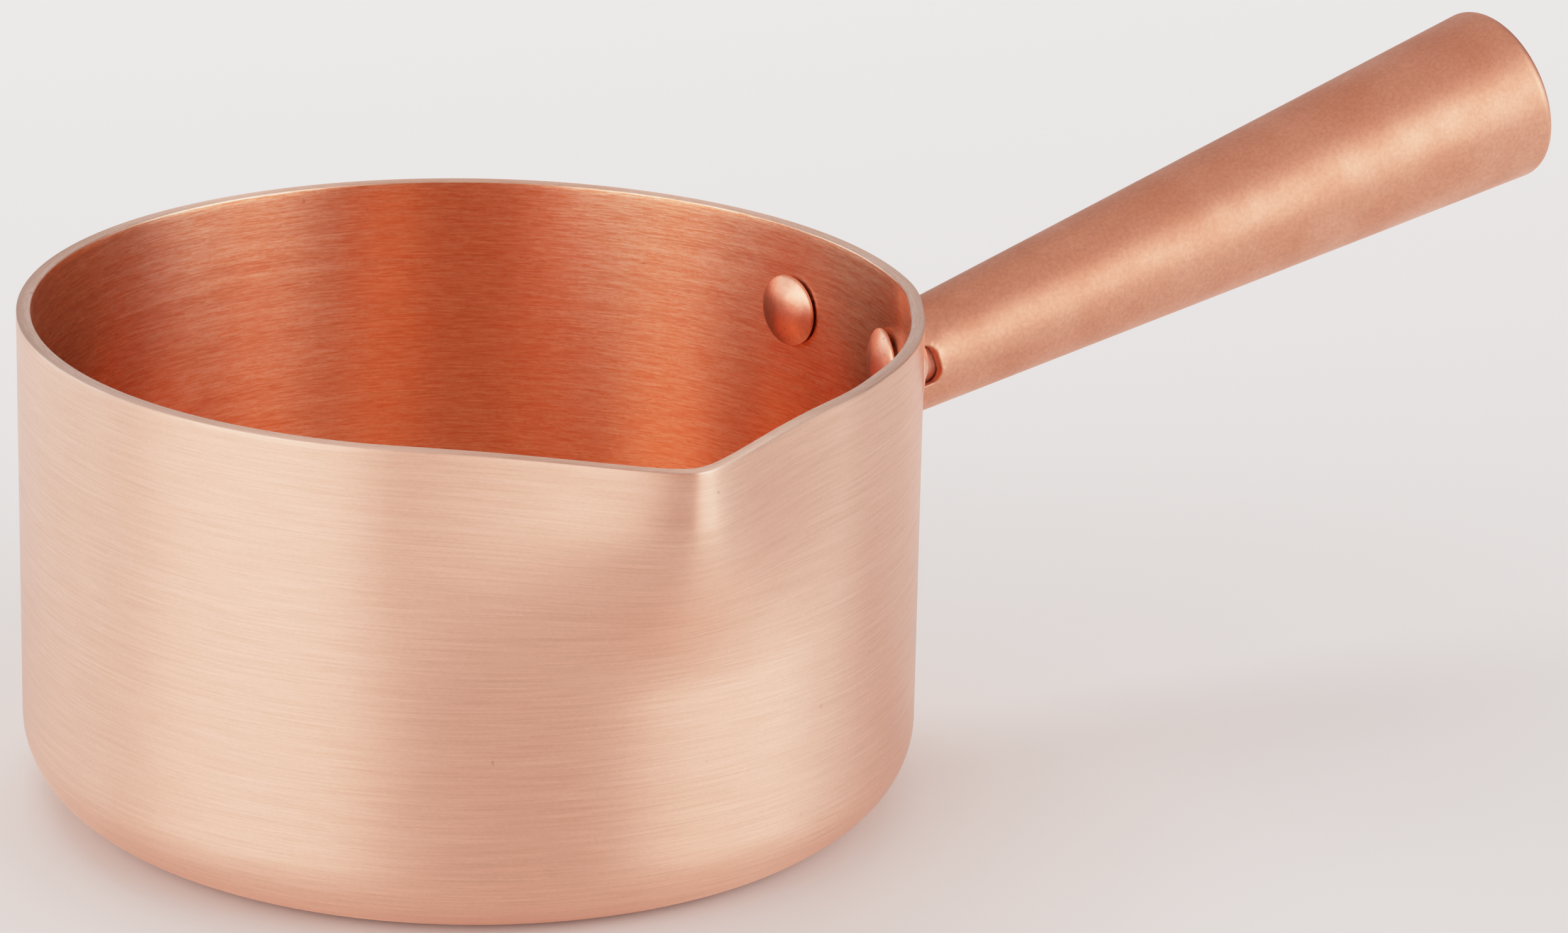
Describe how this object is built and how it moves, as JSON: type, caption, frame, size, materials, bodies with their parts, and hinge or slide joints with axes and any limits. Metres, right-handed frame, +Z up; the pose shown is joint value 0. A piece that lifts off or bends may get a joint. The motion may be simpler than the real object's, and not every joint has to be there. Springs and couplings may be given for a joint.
{
  "type": "saucepan",
  "caption": "Straight-sided copper saucepan with a pouring lip pressed out of its rim and a riveted, rising hollow conical handle.",
  "frame": {"origin": "centre of the flat base, on the surface the pan stands on", "axes": "+Z up along the pan's axis, +X towards the handle, the pouring lip on the -Y side"},
  "size_m": [0.2729, 0.1527, 0.1026],
  "materials": {
    "pan_copper": "solid copper, finely brushed round the pan, satin",
    "handle_copper": "solid copper, satin, slightly mottled",
    "bracket_copper": "solid copper, plain satin",
    "rivet_copper": "solid copper, hammered smooth, small pits"
  },
  "bodies": {
    "root": {"pan_body": "pan_copper", "handle_tube": "handle_copper", "handle_bracket": "bracket_copper", "rivet_spout_side": "rivet_copper", "rivet_far_side": "rivet_copper", "rivet_lower": "rivet_copper"}
  },
  "joints": []
}
